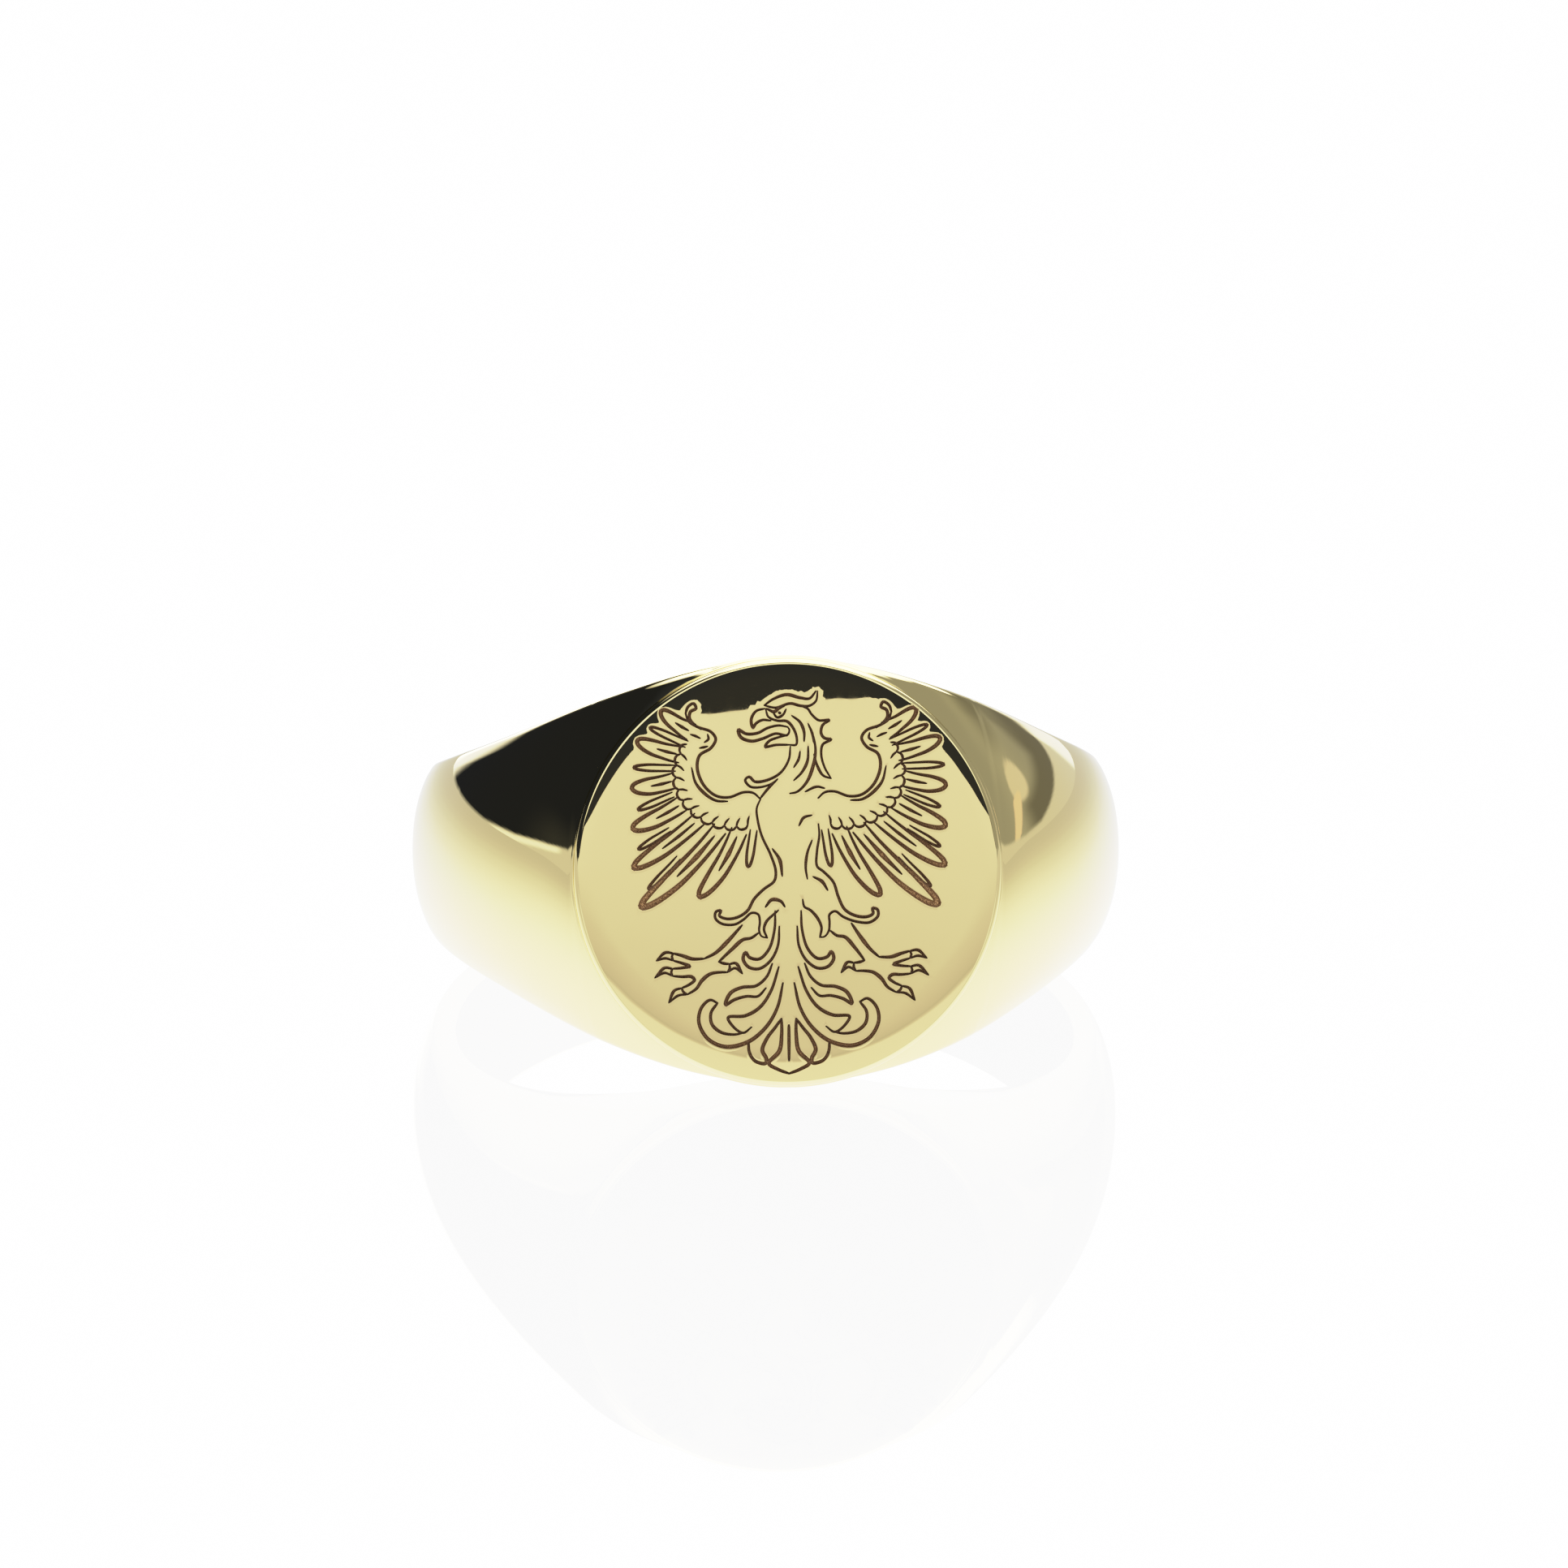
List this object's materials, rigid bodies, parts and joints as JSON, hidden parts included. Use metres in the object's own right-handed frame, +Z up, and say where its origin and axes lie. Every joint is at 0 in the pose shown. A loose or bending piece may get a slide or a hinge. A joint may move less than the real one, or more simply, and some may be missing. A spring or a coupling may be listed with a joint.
{
  "type": "signet ring",
  "caption": "Round-headed signet ring with a flat table plate, tapering domed shoulders and a narrow D-section shank, lying on its side.",
  "frame": {"origin": "on the ground, under the middle of the ring's bounding box as it lies on its side", "axes": "+X across the ring to the viewer's right when facing the table, +Y from the head to the back of the shank, +Z up; the finger bore leans back from +Z by the resting tilt and the table faces -Y and slightly up"},
  "size_m": [0.0218, 0.0238, 0.0129],
  "materials": {
    "shank_gold": null,
    "solder": "hard gold solder, thin film",
    "plate_gold": null
  },
  "bodies": {
    "root": {"shank": "shank_gold", "solder_seam": "solder", "signet_plate": "plate_gold"}
  },
  "joints": []
}
